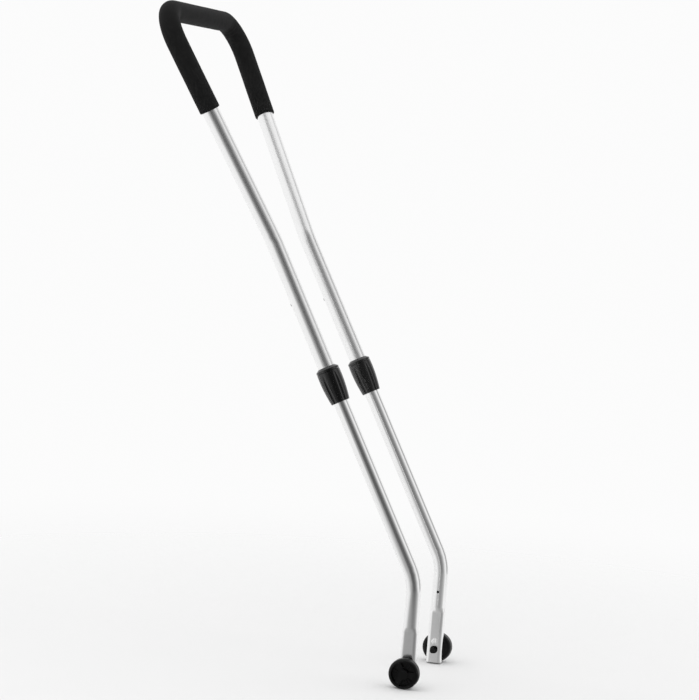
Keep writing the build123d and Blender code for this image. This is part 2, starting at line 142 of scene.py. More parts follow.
# %% Node helpers
def add_node(tree, kind, inputs=(), **settings):
    """Add a node, set its options, and fill its inputs with values or sockets."""
    node = tree.nodes.new(kind)
    for name, value in settings.items():
        setattr(node, name, value)
    for name, value in dict(inputs).items():
        if isinstance(value, bpy.types.NodeSocket):
            tree.links.new(value, node.inputs[name])
        else:
            node.inputs[name].default_value = value
    return node


def start_finish(name, **shader_values):
    """New material: its node tree, its Principled shader and its Object coordinate."""
    finish = bpy.data.materials.new(name)
    finish.use_nodes = True
    tree = finish.node_tree
    shader = tree.nodes["Principled BSDF"]
    for socket, value in shader_values.items():
        shader.inputs[socket.replace("_", " ")].default_value = value
    place = add_node(tree, "ShaderNodeTexCoord").outputs["Object"]
    return finish, tree, shader, place


def calculate(tree, operation, first, second=0.0):
    """One sum with values or sockets; some operations read only the first."""
    return add_node(tree, "ShaderNodeMath", {0: first, 1: second}, operation=operation).outputs[0]


def between(tree, factor, low, high):
    """Turn a factor of 0 to 1 into a value from low to high."""
    spread = {"Value": factor, "To Min": low, "To Max": high}
    return add_node(tree, "ShaderNodeMapRange", spread).outputs["Result"]


def patches(tree, place, size, detail, roughness=0.5):
    """Noise of 0 to 1 whose patches are about as wide as the size."""
    values = {"Vector": place, "Scale": 1 / size, "Detail": detail, "Roughness": roughness}
    return add_node(tree, "ShaderNodeTexNoise", values).outputs["Fac"]


MIX_SOCKETS = {"VECTOR": (4, 5, 1), "RGBA": (6, 7, 2)}  # first and second input, output


def mixed(tree, factor, first, second, kind="RGBA"):
    """Mix two colours or two vectors by a factor."""
    first_socket, second_socket, output = MIX_SOCKETS[kind]
    values = {0: factor, first_socket: first, second_socket: second}
    return add_node(tree, "ShaderNodeMix", values, data_type=kind).outputs[output]


def grey(value):
    return (value, value, value, 1)


def two_greys(tree, factor, dark, light):
    return mixed(tree, factor, grey(dark), grey(light))


def raise_relief(tree, shader, height, strength, depth, ground=None):
    """Bump a finish by a height of 0 to 1; ground is a relief that lies under it."""
    values = {"Height": height, "Strength": strength, "Distance": depth}
    if ground:
        values["Normal"] = ground
    relief = add_node(tree, "ShaderNodeBump", values).outputs["Normal"]
    tree.links.new(relief, shader.inputs["Normal"])
    return relief


print("node helpers ready")

# %% [markdown]
# ## Satin drawn aluminium
#
# The tubes were pulled through a die and then anodised satin. What shows is a bright
# grey metal with hair lines along the tube and reflections that blur across it. A
# noise squeezed to a fraction of a millimetre across and stretched along the tube
# makes the hair lines, and they drive a very fine bump and the roughness. The tube
# turns a corner, so the cell stretches the noise in one direction below the corner
# and in another above it. X is folded at the middle, and one pattern serves both legs.

# %% Aluminium finish
HAIR_LINE = 0.35 * MM
HAIR_LINE_LENGTH = 90 * MM
BROAD_LINE = 3 * MM
BROAD_LINE_LENGTH = 500 * MM
SMUDGE = 25 * MM


def stretched_along(tree, place, direction, across, along):
    """Coordinates whose unit is narrow across a direction and long along it."""
    turn = direction.to_track_quat("Z", "Y").to_euler()
    values = {"Vector": place, "Rotation": turn, "Scale": (across, across, along)}
    return add_node(tree, "ShaderNodeMapping", values, vector_type="TEXTURE").outputs["Vector"]


def drawn_aluminium(name, below, above, corner_height, smooth, rough):
    """Hair lines run along `below` up to the corner of the tube and along `above` past it."""
    finish, tree, shader, place = start_finish(name, Metallic=1.0)
    parts = add_node(tree, "ShaderNodeSeparateXYZ", {"Vector": place}).outputs
    one_side = add_node(tree, "ShaderNodeCombineXYZ", {
        "X": calculate(tree, "ABSOLUTE", parts["X"]), "Y": parts["Y"], "Z": parts["Z"],
    }).outputs["Vector"]
    past_corner = calculate(tree, "GREATER_THAN", parts["Z"], corner_height)

    def lines(across, along, detail):
        low_part = stretched_along(tree, one_side, below, across, along)
        high_part = stretched_along(tree, one_side, above, across, along)
        stretched = mixed(tree, past_corner, low_part, high_part, "VECTOR")
        return patches(tree, stretched, size=1.0, detail=detail)

    hair_lines = lines(HAIR_LINE, HAIR_LINE_LENGTH, detail=3.0)
    broad_lines = lines(BROAD_LINE, BROAD_LINE_LENGTH, detail=1.0)
    streaks = calculate(tree, "MULTIPLY", hair_lines, broad_lines)
    smudges = patches(tree, place, SMUDGE, detail=2.0)
    tree.links.new(two_greys(tree, smudges, dark=0.89, light=0.94), shader.inputs["Base Color"])
    tree.links.new(between(tree, streaks, smooth, rough), shader.inputs["Roughness"])
    raise_relief(tree, shader, hair_lines, strength=0.03, depth=0.02 * MM)
    return finish


upright = Vector((0, 0, 1))
upper_aluminium = drawn_aluminium(
    "satin_aluminium_upper", leg_axis, splay_axis, splay_height, smooth=0.27, rough=0.37
)
lower_aluminium = drawn_aluminium(
    "satin_aluminium_lower", upright, leg_axis, FOOT_BEND_HEIGHT, smooth=0.15, rough=0.24
)
print("hair lines of", HAIR_LINE / MM, "mm on", upper_aluminium.name, "and", lower_aluminium.name)

# %% [markdown]
# ## Closed-cell foam
#
# The grip is soft black foam with a skin of tiny open cells. It is almost black from
# the front and greyer towards its edges, where the cell walls catch light: that is
# what the sheen of the shader is for. Voronoi cells make the pores, and a wider noise
# makes the colour and the surface slightly uneven, as foam always is.

# %% Foam finish
PORE = 0.9 * MM
PORE_DEPTH = 0.25 * MM
FOAM_GRAIN = 0.5 * MM
WAVE = 14 * MM
WAVE_DEPTH = 1.5 * MM


def closed_cell_foam():
    finish, tree, shader, place = start_finish(
        "black_foam", Roughness=0.9, Specular_IOR_Level=0.2, Sheen_Weight=0.03, Sheen_Roughness=0.4
    )
    shader.inputs["Sheen Tint"].default_value = (0.75, 0.75, 0.78, 1)
    cells = add_node(tree, "ShaderNodeTexVoronoi", {"Vector": place, "Scale": 1 / PORE})
    fine = patches(tree, place, FOAM_GRAIN, detail=2.0)
    pores = calculate(tree, "ADD", cells.outputs["Distance"], fine)
    waves = patches(tree, place, WAVE, detail=4.0, roughness=0.6)
    tree.links.new(two_greys(tree, waves, dark=0.005, light=0.012), shader.inputs["Base Color"])
    skin = raise_relief(tree, shader, pores, strength=0.45, depth=PORE_DEPTH)
    raise_relief(tree, shader, waves, strength=0.35, depth=WAVE_DEPTH, ground=skin)
    return finish


foam_finish = closed_cell_foam()
print("pores of", PORE / MM, "mm on", foam_finish.name)

# %% [markdown]
# ## Moulded plastics
#
# The collars, the knobs and the bushes come out of steel moulds whose walls were
# eroded to a fine grain, so the plastic has a satin look: no mirror, but a soft
# highlight along each edge. The pieces differ in colour, in gloss and in how coarse
# the grain is, and one function with those values serves all of them.

# %% Plastic finishes
CLOUD = 9 * MM
GLOSS_SPREAD = 0.06


def moulded_plastic(name, dark, light, shine, gloss, grain, grain_depth):
    """Plastic between two greys; gloss is its mean roughness and grain is in metres."""
    finish, tree, shader, place = start_finish(name, Specular_IOR_Level=shine)
    cloud = patches(tree, place, CLOUD, detail=3.0)
    sparkle = patches(tree, place, grain, detail=2.0, roughness=0.7)
    dull = between(tree, cloud, gloss - GLOSS_SPREAD, gloss + GLOSS_SPREAD)
    tree.links.new(two_greys(tree, cloud, dark, light), shader.inputs["Base Color"])
    tree.links.new(dull, shader.inputs["Roughness"])
    raise_relief(tree, shader, sparkle, strength=0.2, depth=grain_depth)
    return finish


collar_nylon = moulded_plastic(
    "black_nylon", dark=0.001, light=0.003, shine=0.65, gloss=0.12,
    grain=0.45 * MM, grain_depth=0.006 * MM,
)
knob_plastic = moulded_plastic(
    "knob_plastic", dark=0.0005, light=0.0012, shine=0.26, gloss=0.38,
    grain=0.6 * MM, grain_depth=0.006 * MM,
)
guide_acetal = moulded_plastic(
    "grey_acetal", dark=0.22, light=0.27, shine=0.5, gloss=0.45,
    grain=0.5 * MM, grain_depth=0.02 * MM,
)
print("plastics:", collar_nylon.name, knob_plastic.name, guide_acetal.name)

# %% [markdown]
# ## Turned and plated steel
#
# The studs, pins, washers, clips and rivets are small steel parts. Turning leaves
# rings round the axis, which here runs across the handle for all of them but the
# rivet. Rings need only the distance from that axis, so a wave texture in ring mode
# would do, but noise over the distance and the length looks less regular. The frosted
# zinc on the pins and washers scatters part of the light, so it is less than fully
# metallic, while the studs are blackened.

# %% Steel finishes
TURNING_RING = 0.3 * MM
BLOTCH = 3 * MM
RING_SHINE, RING_DULL = 0.08, 0.1  # how far the rings go below and above the roughness


def turned_steel(name, metal, dark, light, roughness):
    finish, tree, shader, place = start_finish(name, Metallic=metal)
    parts = add_node(tree, "ShaderNodeSeparateXYZ", {"Vector": place}).outputs
    across = add_node(tree, "ShaderNodeCombineXYZ", {"Y": parts["Y"], "Z": parts["Z"]})
    from_axis = add_node(
        tree, "ShaderNodeVectorMath", {0: across.outputs["Vector"]}, operation="LENGTH"
    ).outputs["Value"]
    turned = add_node(tree, "ShaderNodeCombineXYZ", {"X": parts["X"], "Y": from_axis})
    rings = patches(tree, turned.outputs["Vector"], TURNING_RING, detail=2.0)
    blotches = patches(tree, place, BLOTCH, detail=3.0)
    dull = between(tree, rings, roughness - RING_SHINE, roughness + RING_DULL)
    tree.links.new(two_greys(tree, blotches, dark, light), shader.inputs["Base Color"])
    tree.links.new(dull, shader.inputs["Roughness"])
    raise_relief(tree, shader, rings, strength=0.15, depth=0.02 * MM)
    return finish


bright_steel = turned_steel("bright_steel", metal=0.65, dark=0.90, light=0.96, roughness=0.55)
rivet_steel = turned_steel("rivet_steel", metal=1.0, dark=0.52, light=0.66, roughness=0.34)
dark_steel = turned_steel("dark_steel", metal=1.0, dark=0.015, light=0.035, roughness=0.2)
print("steels:", bright_steel.name, rivet_steel.name, dark_steel.name)

# %% [markdown]
# ## Dress the CAD pieces
#
# Rigid pieces keep their CAD shape and only get a finish. The table below goes by the
# last words of each node's name, because every small part exists once on the left and
# once on the right. The CAD meshes are loose triangles, which would show as facets in
# a shiny tube. A Weld modifier joins them, an Edge Split opens the real edges again, and
# weighted normals let the large faces lead, so that round surfaces shade smoothly, the
# pressed feet stay flat to their edges, and the points of the mesh stay where they are.

# %% Finishes of the CAD pieces
FINISH_OF_PIECE = {
    "handle_tube": upper_aluminium,
    "lower_tube": lower_aluminium,
    "guide_bush": guide_acetal,
    "collar_body": collar_nylon,
    "clamp_ring": guide_acetal,
    "clamp_nut": collar_nylon,
    "foot_bush": collar_nylon,
    "locating_pin": bright_steel,
    "knob_washer": bright_steel,
    "stud_clip": dark_steel,
    "stop_rivet": rivet_steel,
    "knob": knob_plastic,
    "knob_cap": knob_plastic,
}
SHARP_EDGE = radians(30)
LARGE_FACE_WEIGHT = 90


def shade_round_faces(node):
    weld = node.modifiers.new("join_triangles", "WELD")
    weld.merge_threshold = SAME_POINT
    split = node.modifiers.new("open_sharp_edges", "EDGE_SPLIT")
    split.split_angle = SHARP_EDGE
    lead = node.modifiers.new("let_large_faces_lead", "WEIGHTED_NORMAL")
    lead.weight = LARGE_FACE_WEIGHT
    for polygon in node.data.polygons:
        polygon.use_smooth = True


dressed = 0
for node_name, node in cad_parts.items():
    for piece_name, finish in FINISH_OF_PIECE.items():
        if node_name.endswith(piece_name):
            node.data.materials.clear()
            node.data.materials.append(finish)
            shade_round_faces(node)
            dressed += 1
print(dressed, "CAD pieces dressed")

# %% [markdown]
# ## Helpers for swept and turned pieces
#
# The grip and the studs start as one ring or one half outline that an operator
# carries along. `grow_straight` extrudes a ring in steps, `grow_bend` spins it round
# the centre of a bend, and both give back the ring at the far end, so that a path is
# a chain of calls. A bevelled curve would sweep as well, but here every ring stays
# editable for the dents and folds that come later.

# %% Sweeping helpers
def edges_of(geometry):
    return [item for item in geometry if isinstance(item, bmesh.types.BMEdge)]


def verts_of(geometry):
    return [item for item in geometry if isinstance(item, bmesh.types.BMVert)]


def grow_ring(bm, ring, move=Vector(), centre=Vector(), scale=1.0):
    """Extrude a ring once, move the new ring and scale it about its centre."""
    made = bmesh.ops.extrude_edge_only(bm, edges=ring)["geom"]
    new_verts = verts_of(made)
    bmesh.ops.scale(bm, verts=new_verts, vec=(scale,) * 3, space=Matrix.Translation(-centre))
    bmesh.ops.translate(bm, verts=new_verts, vec=move)
    fresh = set(new_verts)
    return [edge for edge in edges_of(made) if fresh.issuperset(edge.verts)]


def grow_straight(bm, ring, travel, steps):
    for _ in range(steps):
        ring = grow_ring(bm, ring, travel / steps)
    return ring


def grow_bend(bm, ring, centre, axis, angle, steps):
    made = bmesh.ops.spin(
        bm, geom=ring, cent=centre, axis=axis, dvec=(0, 0, 0), angle=angle, steps=steps,
        use_merge=False, use_normal_flip=False, use_duplicate=False,
    )
    return edges_of(made["geom_last"])


def finished_piece(bm, name, finish, sharp_above=radians(40)):
    """Turn a bmesh into a smooth-shaded object at the origin, with its finish."""
    bmesh.ops.recalc_face_normals(bm, faces=bm.faces)
    mesh = bpy.data.meshes.new(name)
    bm.to_mesh(mesh)
    bm.free()
    mesh.shade_smooth()
    mesh.set_sharp_from_angle(angle=sharp_above)
    mesh.materials.append(finish)
    piece = bpy.data.objects.new(name, mesh)
    bpy.context.collection.objects.link(piece)
    print(name, len(mesh.polygons), "faces")
    return piece


print("sweeping helpers ready")

# %% [markdown]
# ## The foam grip: its path
#
# The sleeve covers the crossbar, both corners and the top of each leg. Its path is
# drawn upright first, with X across and Z up, where it is simply a straight, a bend, a
# straight, a bend and a straight, and is leaned back at the end. The box of the CAD
# sleeve gives the places: its highest side is the crossbar, its widest point is in the
# bend, and its lowest point is the cut end of a leg.

# %% Path of the grip
FOAM_RADIUS = 15.5 * MM
FOAM_BORE = 12.55 * MM
GRIP_BEND = 45 * MM

grip_low, grip_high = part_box("foam_grip")
lean_back = lean_turn.inverted()
crossbar = lean_back @ Vector((0, grip_low.y + FOAM_RADIUS, grip_high.z - FOAM_RADIUS))
bend_centre = Vector((grip_high.x - FOAM_RADIUS - GRIP_BEND, crossbar.y, crossbar.z - GRIP_BEND))
leg_up = Vector((sin(SPLAY_ANGLE), 0, cos(SPLAY_ANGLE)))
leg_out = Vector((cos(SPLAY_ANGLE), 0, -sin(SPLAY_ANGLE)))
bend_start = bend_centre + leg_out * GRIP_BEND
end_height = grip_low.z + FOAM_RADIUS * sqrt(1 - splay_axis.z ** 2)
leg_run = ((lean_turn @ bend_start).z - end_height) / splay_axis.z
print("foam on each leg", round(leg_run / MM, 1), "mm, crossbar", round(2 * bend_centre.x / MM, 1))

# %% [markdown]
# ## The foam grip: its skin
#
# The outer skin starts on a ring near the cut end of the right leg, runs through the
# whole path to the left leg, and gets a small rounded lip at both ends, because a knife
# leaves foam with a soft edge. The bore follows the same path with fewer rings, and
# bridging the open rings at each end closes the sleeve.

# %% Skin and bore
LIP = 1.2 * MM
LIP_STEPS = 4
RING_POINTS = 48
BEND_ANGLE = pi / 2 + SPLAY_ANGLE


def sleeve_skin(bm, radius, setback, leg_steps, bend_steps, bar_steps):
    """Sweep one ring through the path; gives back the rings at its two ends."""
    start = bend_start - leg_up * (leg_run - setback)
    across = leg_up.to_track_quat("Z", "Y").to_matrix().to_4x4()
    made = bmesh.ops.create_circle(
        bm, segments=RING_POINTS, radius=radius, matrix=Matrix.Translation(start) @ across
    )
    first = list({edge for vert in made["verts"] for edge in vert.link_edges})
    ring = grow_straight(bm, first, leg_up * (leg_run - setback), leg_steps)
    ring = grow_bend(bm, ring, bend_centre, (0, -1, 0), BEND_ANGLE, bend_steps)
    ring = grow_straight(bm, ring, Vector((-2 * bend_centre.x, 0, 0)), bar_steps)
    other_centre = Vector((-bend_centre.x, bend_centre.y, bend_centre.z))
    ring = grow_bend(bm, ring, other_centre, (0, -1, 0), BEND_ANGLE, bend_steps)
    leg_down = Vector((leg_up.x, 0, -leg_up.z)) * (leg_run - setback)
    return first, grow_straight(bm, ring, leg_down, leg_steps)


def rounded_lip(bm, ring, outward):
    """Quarter-round edge from the skin to the cut face."""
    centre = sum((vert.co for edge in ring for vert in edge.verts), Vector()) / (2 * len(ring))
    depth, radius = 0.0, FOAM_RADIUS
    for step in range(1, LIP_STEPS + 1):
        angle = pi / 2 * step / LIP_STEPS
        next_depth, next_radius = LIP * sin(angle), FOAM_RADIUS - LIP * (1 - cos(angle))
        move = outward * (next_depth - depth)
        ring = grow_ring(bm, ring, move, centre, next_radius / radius)
        centre += move
        depth, radius = next_depth, next_radius
    return ring


grip_bm = bmesh.new()
skin_ends = sleeve_skin(grip_bm, FOAM_RADIUS, LIP, leg_steps=34, bend_steps=44, bar_steps=72)
bore_ends = sleeve_skin(grip_bm, FOAM_BORE, 0.0, leg_steps=1, bend_steps=14, bar_steps=1)
outward_ends = (-leg_up, Vector((leg_up.x, 0, -leg_up.z)))
for skin_end, bore_end, outward in zip(skin_ends, bore_ends, outward_ends):
    lip_end = rounded_lip(grip_bm, skin_end, outward)
    bmesh.ops.bridge_loops(grip_bm, edges=lip_end + list(bore_end))
print("sleeve of", len(grip_bm.faces), "faces, open edges:",
      sum(edge.is_boundary for edge in grip_bm.edges))

# %% [markdown]
# ## The foam grip: its folds
#
# Where the sleeve goes round a corner, its inside is squeezed and buckles into small
# folds, with one deeper crease in the middle. A cloth simulation of a sleeve this
# stiff hardly moves, so the cell moves the vertices itself: each knows how far round
# the bend it is and how much it faces the inside. Elsewhere a slow noise presses in the
# skin by a few tenths of a millimetre, and no move goes outward. The straight bore,
# whose edges are as long as a leg, stays where it is.

# %% Folds and dents
FOLD_DEPTH = 0.9 * MM
FOLD_WIDTH = radians(3.2)
FOLDS = (  # share of the way round the bend, and share of the depth
    (0.30, 0.45), (0.42, 0.7), (0.55, 1.0), (0.68, 0.6), (0.80, 0.4),
)
DENT_DEPTH = 0.35 * MM
DENT_SIZE = 30 * MM
BORE_EDGE = 9 * MM  # only the straight bore has longer edges


def fold_depth(point):
    """How far the squeezed inside of a corner folds in at a point, from 0 to 1."""
    from_centre = Vector((abs(point.x), 0, point.z)) - Vector((bend_centre.x, 0, bend_centre.z))
    round_bend = leg_out.angle(from_centre) / BEND_ANGLE
    if from_centre.dot(leg_up) < 0 or from_centre.x < -GRIP_BEND:
        return 0.0
    inside = max(0.0, (GRIP_BEND - from_centre.length) / FOAM_RADIUS) ** 1.5
    folds = sum(
        depth * exp(-(((round_bend - place) * BEND_ANGLE / FOLD_WIDTH) ** 2))
        for place, depth in FOLDS
    )
    return inside * folds


grip_bm.normal_update()
bmesh.ops.recalc_face_normals(grip_bm, faces=grip_bm.faces)
moved = 0
for vert in grip_bm.verts:
    point, out = vert.co.copy(), vert.normal.copy()
    if any(edge.calc_length() > BORE_EDGE for edge in vert.link_edges):
        continue
    dent = (0.5 + 0.5 * noise.noise(point / DENT_SIZE)) * DENT_DEPTH
    vert.co -= out * (fold_depth(point) * FOLD_DEPTH + dent)
    moved += 1
bmesh.ops.transform(grip_bm, matrix=lean_turn.to_4x4(), verts=grip_bm.verts)
grip = finished_piece(grip_bm, "foam_sleeve", foam_finish)
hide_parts("foam_grip")
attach(grip, "handle")
print(moved, "points of the sleeve settled")

# %% [markdown]
# ## The studs: their thread
#
# Each knob carries an M8 stud that ends in a rolled thread beside the foot, the part
# that enters the vehicle. A thread is one zigzag outline that is spun round the axis
# while it moves on by a pitch, so that its two ends meet and can be merged. Both ends
# are then cut square, and the first turns are squeezed into the cone that helps a
# stud to start. A cylinder with a bump texture would be lighter, but its outline would
# stay straight.

# %% Thread
THREAD_PITCH = 1.25 * MM
THREAD_DEPTH = 0.72 * MM
THREAD_LENGTH = 12.3 * MM
SPARE_TURNS = 2  # spun before the tip and then cut off
STUD_CONE = 1.0 * MM
STUD_POINTS = 40
ON_PLANE = 1e-7  # a point this near to a cutting plane lies on it

stud_low, stud_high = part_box("right_knob_stud")
stud_radius = (stud_high.z - stud_low.z) / 2
stud_length = stud_high.x - stud_low.x


def outline_edges(bm, outline):
    """Open chain through points given as (place, radius): its vertices and edges."""
    verts = [bm.verts.new((place, 0, radius)) for place, radius in outline]
    return verts + [bm.edges.new(pair) for pair in zip(verts, verts[1:])]


def spin_round_x(bm, geometry, advance=0.0):
    """Spin an outline one full turn round X while it moves on, and merge its ends."""
    step = Vector((advance / STUD_POINTS, 0, 0))
    bmesh.ops.spin(
        bm, geom=geometry, cent=(0, 0, 0), axis=(1, 0, 0), dvec=step, angle=2 * pi,
        steps=STUD_POINTS, use_merge=False, use_normal_flip=False, use_duplicate=False,
    )
    bmesh.ops.remove_doubles(bm, verts=bm.verts, dist=SAME_POINT)


def rolled_thread():
    """Thread along X from the tip at 0; its ends are cut square and closed."""
    bm = bmesh.new()
    root = stud_radius - THREAD_DEPTH
    crest = stud_radius
    one_turn = ((0.0, root), (0.18, root), (0.46, crest), (0.60, crest), (0.88, root))
    first, last = -SPARE_TURNS, round(THREAD_LENGTH / THREAD_PITCH) + 1
    outline = [
        ((turn + share) * THREAD_PITCH, radius)
        for turn in range(first, last) for share, radius in one_turn
    ]
    outline.append((last * THREAD_PITCH, root))
    spin_round_x(bm, outline_edges(bm, outline), THREAD_PITCH)
    for place, outward in ((0.0, -1), (THREAD_LENGTH, 1)):
        bmesh.ops.bisect_plane(
            bm, geom=bm.verts[:] + bm.edges[:] + bm.faces[:], dist=ON_PLANE,
            plane_co=(place, 0, 0), plane_no=(outward, 0, 0), clear_outer=True,
        )
    bmesh.ops.remove_doubles(bm, verts=bm.verts, dist=SAME_POINT)
    bmesh.ops.holes_fill(bm, edges=[edge for edge in bm.edges if edge.is_boundary], sides=0)
    for vert in bm.verts:
        from_axis = Vector((0, vert.co.y, vert.co.z))
        allowed = stud_radius - max(0.0, STUD_CONE - vert.co.x)
        if from_axis.length > allowed:
            from_axis.length = allowed
            vert.co = Vector((vert.co.x, from_axis.y, from_axis.z))
    return bm


print("thread of", round(THREAD_LENGTH / THREAD_PITCH, 1), "turns, radius",
      round(stud_radius / MM, 2), "mm")

# %% [markdown]
# ## The studs: their shank
#
# Behind the thread each stud is plain, with a groove for the clip that keeps it in its
# foot, and the knob is moulded round its far end. That part is an ordinary full turn of
# an outline. The left stud is the right one, turned half a turn about the vertical.

# %% Shank and finished studs
CLIP_GROOVE = (12.95 * MM, 14.05 * MM, 3.4 * MM)  # from, to, radius
SHANK_ROUND = 0.3 * MM
SHANK_SLACK = 0.05 * MM  # the shank is this much thinner than the thread in radius
SHANK_OVERLAP = 0.1 * MM  # and reaches this far into the last turn
STUD_SHARP_EDGE = radians(25)


def add_shank(bm):
    """Plain shank behind the thread, with the groove of the clip and rounded ends."""
    shank_radius = stud_radius - SHANK_SLACK
    begin = THREAD_LENGTH - SHANK_OVERLAP
    groove_from, groove_to, groove_radius = CLIP_GROOVE
    geometry = outline_edges(bm, (
        (begin, 0), (begin, shank_radius - SHANK_ROUND), (begin + SHANK_ROUND, shank_radius),
        (groove_from, shank_radius), (groove_from, groove_radius), (groove_to, groove_radius),
        (groove_to, shank_radius), (stud_length - SHANK_ROUND, shank_radius),
        (stud_length, shank_radius - SHANK_ROUND), (stud_length, 0),
    ))
    spin_round_x(bm, geometry)


for side, sign in (("left", -1), ("right", 1)):
    stud_bm = rolled_thread()
    add_shank(stud_bm)
    bmesh.ops.translate(stud_bm, verts=stud_bm.verts, vec=(stud_low.x, 0, 0))
    if sign < 0:
        bmesh.ops.rotate(stud_bm, verts=stud_bm.verts, matrix=Matrix.Rotation(pi, 3, "Z"))
    print(side, "stud, open edges:", sum(edge.is_boundary for edge in stud_bm.edges))
    stud = finished_piece(stud_bm, f"{side}_threaded_stud", dark_steel, STUD_SHARP_EDGE)
    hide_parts(f"{side}_knob_stud")
    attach(stud, f"{side}_hand_knob")

# %% [markdown]
# ## The white tent
#
# The handle is shown in a white tent, as small products are. The world is the tent:
# almost white where the camera or a reflection meets it, and a little dimmer as a
# light, so that pale metal and the floor keep their tones. A dome of real panels would
# do the same with more noise in the picture.

# %% World
WORLD_LIGHT = 0.80
WORLD_WHITE = 0.97

world = bpy.data.worlds.new("white_tent")
bpy.context.scene.world = world
world.use_nodes = True
sky = world.node_tree
as_light = sky.nodes["Background"]
as_light.inputs["Color"].default_value = grey(1.0)
as_light.inputs["Strength"].default_value = WORLD_LIGHT
as_seen = add_node(sky, "ShaderNodeBackground", {"Color": grey(WORLD_WHITE), "Strength": 1.0})
ray = add_node(sky, "ShaderNodeLightPath").outputs
shiny = calculate(sky, "MAXIMUM", ray["Is Glossy Ray"], ray["Is Transmission Ray"])
direct = calculate(sky, "MAXIMUM", ray["Is Camera Ray"], shiny)
tent = add_node(sky, "ShaderNodeMixShader", {
    0: direct, 1: as_light.outputs[0], 2: as_seen.outputs[0],
})
sky.links.new(tent.outputs[0], sky.nodes["World Output"].inputs["Surface"])
print("world light", WORLD_LIGHT, "seen as", WORLD_WHITE)

# %% [markdown]
# ## The floor
#
# The feet stand on a pale matt floor, whose soft shadows are what makes the handle
# stand and not float. Near the feet it is a shade darker than the tent. It fades out
# within two steps, and so its edge never shows.

# %% Floor
FLOOR_RADIUS = 1.7
FLOOR_FADE_FROM = 0.12
FLOOR_GREY = 0.935
FLOOR_SPREAD = 0.01
FLOOR_PATCH = 0.5


def faded_floor():
    finish, tree, shader, place = start_finish("pale_floor", Roughness=0.8, Specular_IOR_Level=0.1)
    uneven = patches(tree, place, FLOOR_PATCH, detail=2.0)
    shade = two_greys(tree, uneven, FLOOR_GREY - FLOOR_SPREAD, FLOOR_GREY + FLOOR_SPREAD)
    tree.links.new(shade, shader.inputs["Base Color"])
    distance = add_node(tree, "ShaderNodeVectorMath", {0: place}, operation="LENGTH")
    fade = add_node(tree, "ShaderNodeMapRange", {
        "Value": distance.outputs["Value"], "From Min": FLOOR_FADE_FROM, "From Max": FLOOR_RADIUS,
        "To Min": 1.0, "To Max": 0.0,
    }, interpolation_type="SMOOTHSTEP")
    tree.links.new(fade.outputs["Result"], shader.inputs["Alpha"])
    return finish


floor_bm = bmesh.new()
bmesh.ops.create_circle(
    floor_bm, cap_ends=True, segments=96, radius=FLOOR_RADIUS,
    matrix=Matrix.Translation((0, 0, cad_low.z)),
)
floor = finished_piece(floor_bm, "studio_floor", faded_floor())

# %% [markdown]
# ## Boards that only reflections meet
#
# A studio shapes what metal mirrors with boards that stand just outside the picture.
# The two below must change those reflections and nothing else, so they glow towards
# glossy rays and let every other ray pass. Real boards would do it too, but they would
# also shade the floor.

# %% Board helpers
def greys_round_room(tree, azimuth, greys):
    """Greys at given azimuths, blended smoothly in between."""
    ramp = add_node(tree, "ShaderNodeValToRGB", {"Fac": azimuth})
    ramp.color_ramp.interpolation = "EASE"
    stops = ramp.color_ramp.elements
    while len(stops) < len(greys):
        stops.new(0.5)
    for stop, (degrees, shade) in zip(stops, greys):
        stop.position = degrees / 360
        stop.color = grey(shade)
    return ramp.outputs["Color"]


def only_in_reflections(name):
    """Empty material that sends no light out by itself, and its Is Glossy Ray socket."""
    finish = bpy.data.materials.new(name)
    finish.use_nodes = True
    finish.cycles.emission_sampling = "NONE"
    tree = finish.node_tree
    tree.nodes.remove(tree.nodes["Principled BSDF"])
    return finish, tree, add_node(tree, "ShaderNodeLightPath").outputs["Is Glossy Ray"]


def glow_over_clear(tree, share, colour):
    """Glow with a colour by a share; the rest of the light passes straight on."""
    clear = add_node(tree, "ShaderNodeBsdfTransparent").outputs[0]
    glow = add_node(tree, "ShaderNodeEmission", {"Color": colour}).outputs[0]
    both = add_node(tree, "ShaderNodeMixShader", {0: share, 1: clear, 2: glow}).outputs[0]
    tree.links.new(both, tree.nodes["Material Output"].inputs["Surface"])


print("board helpers ready")

# %% [markdown]
# ## The dark side of the room
#
# A satin tube in an all-white room looks flat. What gives it the soft dark line down
# its length is the unlit side of the room behind the camera, so a curved wall stands
# there: nearly black in the middle and fading to white on both sides, more slowly on
# the right, with one paler grey screen beyond. The flat sides of the feet don't see
# that wall at all, because they look down at the floor, so a grey apron lies there.

# %% Dark side of the room
ROOM_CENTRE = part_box("left_lower_tube")[0].x * Vector((1, 0, 0))
WALL_RADIUS = 2.6
WALL_HEIGHT = 3.2
WALL_GREYS = (  # azimuth round the room in degrees, and the grey there
    (54, 0.94), (78, 0.38), (97, 0.12), (118, 0.11), (140, 0.27),
    (160, 0.66), (176, 0.96), (188, 0.90), (206, 0.40), (220, 0.42), (240, 0.90),
)
APRON_GREYS = (
    (28, 0.94), (50, 0.78), (68, 0.42), (90, 0.33),
    (116, 0.22), (140, 0.30), (160, 0.50), (182, 0.94),
)
APRON_RADII = (0.012, 1.1)
APRON_LIFT = 0.3 * MM  # above the floor
APRON_FADE = 0.7  # share of the outer radius where it turns into the wall
BETWEEN_FEET = (0.03, 0.30, 0.20)  # the apron is paler here: from, to, how much
ROOM_STEPS = 48


